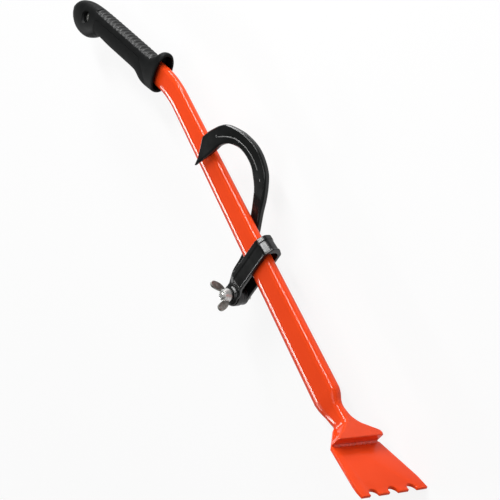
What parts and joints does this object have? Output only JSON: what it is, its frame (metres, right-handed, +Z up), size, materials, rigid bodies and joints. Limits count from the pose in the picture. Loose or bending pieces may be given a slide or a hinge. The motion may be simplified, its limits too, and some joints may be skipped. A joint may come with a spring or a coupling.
{
  "type": "felling_lever",
  "caption": "Felling lever with turning hook: flat steel tube with a toothed blade, a moulded grip and a sliding loop that carries a curved hook on a bolt with a wing nut.",
  "frame": {"origin": "middle of the lever's footprint as it lies on its side, on the plane through its lowest point", "axes": "+X along the tube towards the blade, +Y towards the hook's arc, +Z up towards the wing nut"},
  "size_m": [0.799, 0.1758, 0.088],
  "materials": {
    "orange_paint": "gloss orange paint",
    "grip_plastic": "satin black plastic",
    "grip_soft": "matt black soft plastic",
    "black_coat": "satin black coating on forged steel",
    "zinc_plate": "bright zinc plating"
  },
  "bodies": {
    "lever": {"shaft_tube": "orange_paint", "neck_weld_bead": "orange_paint", "neck_forging": "orange_paint", "blade_plate": "orange_paint", "step_weld_bead": "orange_paint", "grip_body": "grip_plastic", "grip_belly_pad": "grip_soft", "hang_hole_eyelet": "zinc_plate", "tube_end_plug": "grip_plastic"},
    "clamp": {"clamp_loop": "black_coat", "pivot_bolt": "zinc_plate", "head_washer": "zinc_plate", "nut_washer": "zinc_plate"},
    "hook": {"turning_hook": "black_coat"},
    "nut": {"wing_nut": "zinc_plate"}
  },
  "joints": [
    {"name": "clamp_slide", "type": "slide", "parent": "lever", "child": "clamp", "axis": [1, 0, 0], "range_m": [-0.1, 0.035]},
    {"name": "hook_pivot", "type": "hinge", "parent": "clamp", "child": "hook", "pos_m": [0.10684, -0.04, 0.04519], "axis": [0.0523, 0, 0.9986], "range_deg": [-6.5, 4]},
    {"name": "wing_nut_spin", "type": "hinge", "parent": "clamp", "child": "nut", "pos_m": [0.10684, -0.04, 0.04519], "axis": [0.0523, 0, 0.9986], "continuous": true}
  ]
}
